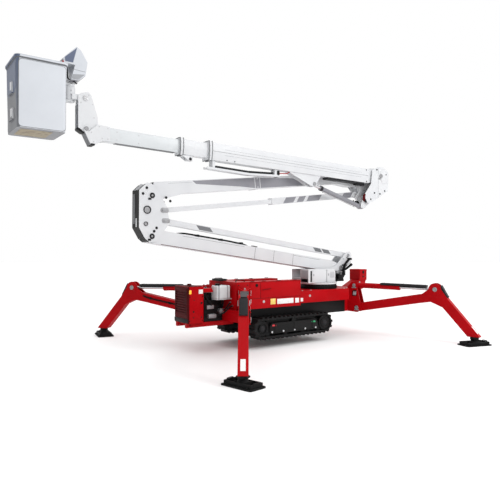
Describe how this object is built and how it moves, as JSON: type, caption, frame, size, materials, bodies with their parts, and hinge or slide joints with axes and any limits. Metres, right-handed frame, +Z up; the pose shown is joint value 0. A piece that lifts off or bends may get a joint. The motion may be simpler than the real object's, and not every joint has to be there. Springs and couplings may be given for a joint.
{
  "type": "tracked spider lift",
  "caption": "Tracked aerial work platform standing on outrigger legs, with a folding pantograph, telescopic boom, short jib and one-person basket.",
  "frame": {"origin": "on the ground at the middle of the outriggers' footprint: Z = 0 is under the pads", "axes": "+X forward to the basket end, +Y to the machine's left, +Z up"},
  "size_m": [7.109, 5.1044, 4.348],
  "materials": {
    "red": "gloss paint",
    "white": "semi-gloss paint",
    "rubber": "moulded rubber",
    "black_metal": "satin black paint",
    "grey_metal": "grey paint",
    "steel": "ground and plated",
    "tank": "moulded translucent plastic",
    "fibreglass": "gel coat",
    "basket": "moulded shell",
    "hood": "moulded cover"
  },
  "bodies": {
    "chassis": {"main_frame": "red", "engine_rails": "red", "front_cross_member": "red", "rear_cross_member": "red", "track_left": "rubber", "track_right": "rubber", "track_frame_left": "black_metal", "track_frame_right": "black_metal", "side_cover_left": "red", "side_cover_right": "red", "engine_box": "red", "engine_block": "black_metal", "tank": "tank", "boom_rest": "black_metal", "rear_box": "red", "slew_ring": "black_metal"},
    "turret": {"turret_frame": "white", "turret_cabinet": "white"},
    "lower_arm": {"lower_arm": "white"},
    "lower_link": {"lower_link": "white"},
    "knuckle": {"knuckle": "white"},
    "upper_arm": {"upper_arm": "white"},
    "upper_link": {"upper_link": "white"},
    "head": {"head": "white"},
    "boom": {"boom_outer": "white", "boom_tray": "black_metal"},
    "boom_mid": {"boom_mid": "white"},
    "boom_inner": {"boom_inner": "fibreglass", "tip_bracket": "white"},
    "luff_barrel": {"luff_barrel": "grey_metal"},
    "luff_rod": {"luff_rod": "steel"},
    "jib": {"jib": "white"},
    "rotator": {"rotator": "grey_metal"},
    "basket": {"basket_mount": "grey_metal", "basket": "basket", "console_hood": "hood"},
    "leg_front_left": {"leg_front_left": "red", "pad_front_left": "rubber"},
    "leg_barrel_front_left": {"leg_barrel_front_left": "red"},
    "leg_rod_front_left": {"leg_rod_front_left": "steel"},
    "leg_front_right": {"leg_front_right": "red", "pad_front_right": "rubber"},
    "leg_barrel_front_right": {"leg_barrel_front_right": "red"},
    "leg_rod_front_right": {"leg_rod_front_right": "steel"},
    "leg_rear_left": {"leg_rear_left": "red", "pad_rear_left": "rubber"},
    "leg_barrel_rear_left": {"leg_barrel_rear_left": "red"},
    "leg_rod_rear_left": {"leg_rod_rear_left": "steel"},
    "leg_rear_right": {"leg_rear_right": "red", "pad_rear_right": "rubber"},
    "leg_barrel_rear_right": {"leg_barrel_rear_right": "red"},
    "leg_rod_rear_right": {"leg_rod_rear_right": "steel"}
  },
  "joints": [
    {"name": "slew", "type": "hinge", "parent": "chassis", "child": "turret", "pos_m": [-0.96, 0, 0.968], "axis": [0, 0, 1], "range_deg": [-180, 180]},
    {"name": "arm_lift", "type": "hinge", "parent": "turret", "child": "lower_arm", "pos_m": [-1.547, -0.105, 1.25], "axis": [0, -1, 0], "range_deg": [-4, 65]},
    {"name": "lower_link_pivot", "type": "hinge", "parent": "turret", "child": "lower_link", "pos_m": [-1.753, -0.105, 1.492], "axis": [0, -1, 0], "range_deg": [-4, 65]},
    {"name": "knuckle_pivot", "type": "hinge", "parent": "lower_arm", "child": "knuckle", "pos_m": [2.437, -0.105, 1.802], "axis": [0, -1, 0], "range_deg": [-65, 4]},
    {"name": "upper_arm_pivot", "type": "hinge", "parent": "knuckle", "child": "upper_arm", "pos_m": [2.432, -0.105, 2.419], "axis": [0, -1, 0], "range_deg": [-65, 4]},
    {"name": "upper_link_pivot", "type": "hinge", "parent": "knuckle", "child": "upper_link", "pos_m": [2.253, -0.105, 2.204], "axis": [0, -1, 0], "range_deg": [-65, 4]},
    {"name": "head_pivot", "type": "hinge", "parent": "upper_arm", "child": "head", "pos_m": [-2.078, -0.105, 2.95], "axis": [0, -1, 0], "range_deg": [-4, 65]},
    {"name": "boom_luff", "type": "hinge", "parent": "head", "child": "boom", "pos_m": [-2.45, 0.124, 3.08], "axis": [0, -1, 0], "range_deg": [0, 75]},
    {"name": "mid_extend", "type": "slide", "parent": "boom", "child": "boom_mid", "axis": [0.9996, 0, 0.0286], "range_m": [0, 2.9]},
    {"name": "inner_extend", "type": "slide", "parent": "boom_mid", "child": "boom_inner", "axis": [0.9996, 0, 0.0286], "range_m": [0, 2.7]},
    {"name": "jib_tilt", "type": "hinge", "parent": "boom_inner", "child": "jib", "pos_m": [3.491, 0.124, 3.254], "axis": [0, -1, 0], "range_deg": [-80, 0]},
    {"name": "basket_level", "type": "hinge", "parent": "jib", "child": "rotator", "pos_m": [3.501, 0.124, 3.669], "axis": [0, -1, 0], "range_deg": [0, 80]},
    {"name": "basket_turn", "type": "hinge", "parent": "rotator", "child": "basket", "pos_m": [3.675, 0.06, 3.73], "axis": [0, 0, 1], "range_deg": [-45, 45]},
    {"name": "luff_barrel_pivot", "type": "hinge", "parent": "head", "child": "luff_barrel", "pos_m": [-1.975, 0.124, 2.45], "axis": [0, -1, 0], "range_deg": [0, 68.49]},
    {"name": "luff_rod_slide", "type": "slide", "parent": "luff_barrel", "child": "luff_rod", "axis": [0.9639, 0, 0.2664], "range_m": [0, 0.9412]},
    {"name": "leg_front_left_lift", "type": "hinge", "parent": "chassis", "child": "leg_front_left", "pos_m": [1.14, 0.605, 0.515], "axis": [0.8141, -0.5807, 0], "range_deg": [0, 60]},
    {"name": "leg_front_left_barrel_pivot", "type": "hinge", "parent": "chassis", "child": "leg_barrel_front_left", "pos_m": [1.11096, 0.56429, 0.93], "axis": [0.8141, -0.5807, 0], "range_deg": [0, 68.46]},
    {"name": "leg_front_left_rod_slide", "type": "slide", "parent": "leg_barrel_front_left", "child": "leg_rod_front_left", "axis": [0.5806, 0.814, -0.0142], "range_m": [-0.3772, 0]},
    {"name": "leg_front_right_lift", "type": "hinge", "parent": "chassis", "child": "leg_front_right", "pos_m": [1.14, -0.605, 0.515], "axis": [-0.8141, -0.5807, 0], "range_deg": [0, 60]},
    {"name": "leg_front_right_barrel_pivot", "type": "hinge", "parent": "chassis", "child": "leg_barrel_front_right", "pos_m": [1.11096, -0.56429, 0.93], "axis": [-0.8141, -0.5807, 0], "range_deg": [0, 68.46]},
    {"name": "leg_front_right_rod_slide", "type": "slide", "parent": "leg_barrel_front_right", "child": "leg_rod_front_right", "axis": [0.5806, -0.814, -0.0142], "range_m": [-0.3772, 0]},
    {"name": "leg_rear_left_lift", "type": "hinge", "parent": "chassis", "child": "leg_rear_left", "pos_m": [-1.625, 0.4, 0.515], "axis": [0.9361, 0.3518, 0], "range_deg": [0, 60]},
    {"name": "leg_rear_left_barrel_pivot", "type": "hinge", "parent": "chassis", "child": "leg_barrel_rear_left", "pos_m": [-1.60741, 0.3532, 0.93], "axis": [0.9361, 0.3518, 0], "range_deg": [0, 68.46]},
    {"name": "leg_rear_left_rod_slide", "type": "slide", "parent": "leg_barrel_rear_left", "child": "leg_rod_rear_left", "axis": [-0.3518, 0.936, -0.0142], "range_m": [-0.3772, 0]},
    {"name": "leg_rear_right_lift", "type": "hinge", "parent": "chassis", "child": "leg_rear_right", "pos_m": [-1.625, -0.4, 0.515], "axis": [-0.9361, 0.3518, 0], "range_deg": [0, 60]},
    {"name": "leg_rear_right_barrel_pivot", "type": "hinge", "parent": "chassis", "child": "leg_barrel_rear_right", "pos_m": [-1.60741, -0.3532, 0.93], "axis": [-0.9361, 0.3518, 0], "range_deg": [0, 68.46]},
    {"name": "leg_rear_right_rod_slide", "type": "slide", "parent": "leg_barrel_rear_right", "child": "leg_rod_rear_right", "axis": [-0.3518, -0.936, -0.0142], "range_m": [-0.3772, 0]}
  ],
  "couplings": [
    {"joint": "lower_link_pivot", "follows": "arm_lift", "ratio": 1},
    {"joint": "knuckle_pivot", "follows": "arm_lift", "ratio": -1},
    {"joint": "upper_arm_pivot", "follows": "arm_lift", "ratio": -1},
    {"joint": "upper_link_pivot", "follows": "arm_lift", "ratio": -1},
    {"joint": "head_pivot", "follows": "arm_lift", "ratio": 1},
    {"joint": "luff_barrel_pivot", "follows": "boom_luff", "ratio": 0.91052},
    {"joint": "luff_rod_slide", "follows": "boom_luff", "m_per_rad": 0.71748},
    {"joint": "leg_front_left_barrel_pivot", "follows": "leg_front_left_lift", "ratio": 1.1377},
    {"joint": "leg_front_left_rod_slide", "follows": "leg_front_left_lift", "m_per_rad": -0.35832},
    {"joint": "leg_front_right_barrel_pivot", "follows": "leg_front_right_lift", "ratio": 1.1377},
    {"joint": "leg_front_right_rod_slide", "follows": "leg_front_right_lift", "m_per_rad": -0.35832},
    {"joint": "leg_rear_left_barrel_pivot", "follows": "leg_rear_left_lift", "ratio": 1.1377},
    {"joint": "leg_rear_left_rod_slide", "follows": "leg_rear_left_lift", "m_per_rad": -0.35832},
    {"joint": "leg_rear_right_barrel_pivot", "follows": "leg_rear_right_lift", "ratio": 1.1377},
    {"joint": "leg_rear_right_rod_slide", "follows": "leg_rear_right_lift", "m_per_rad": -0.35832}
  ]
}
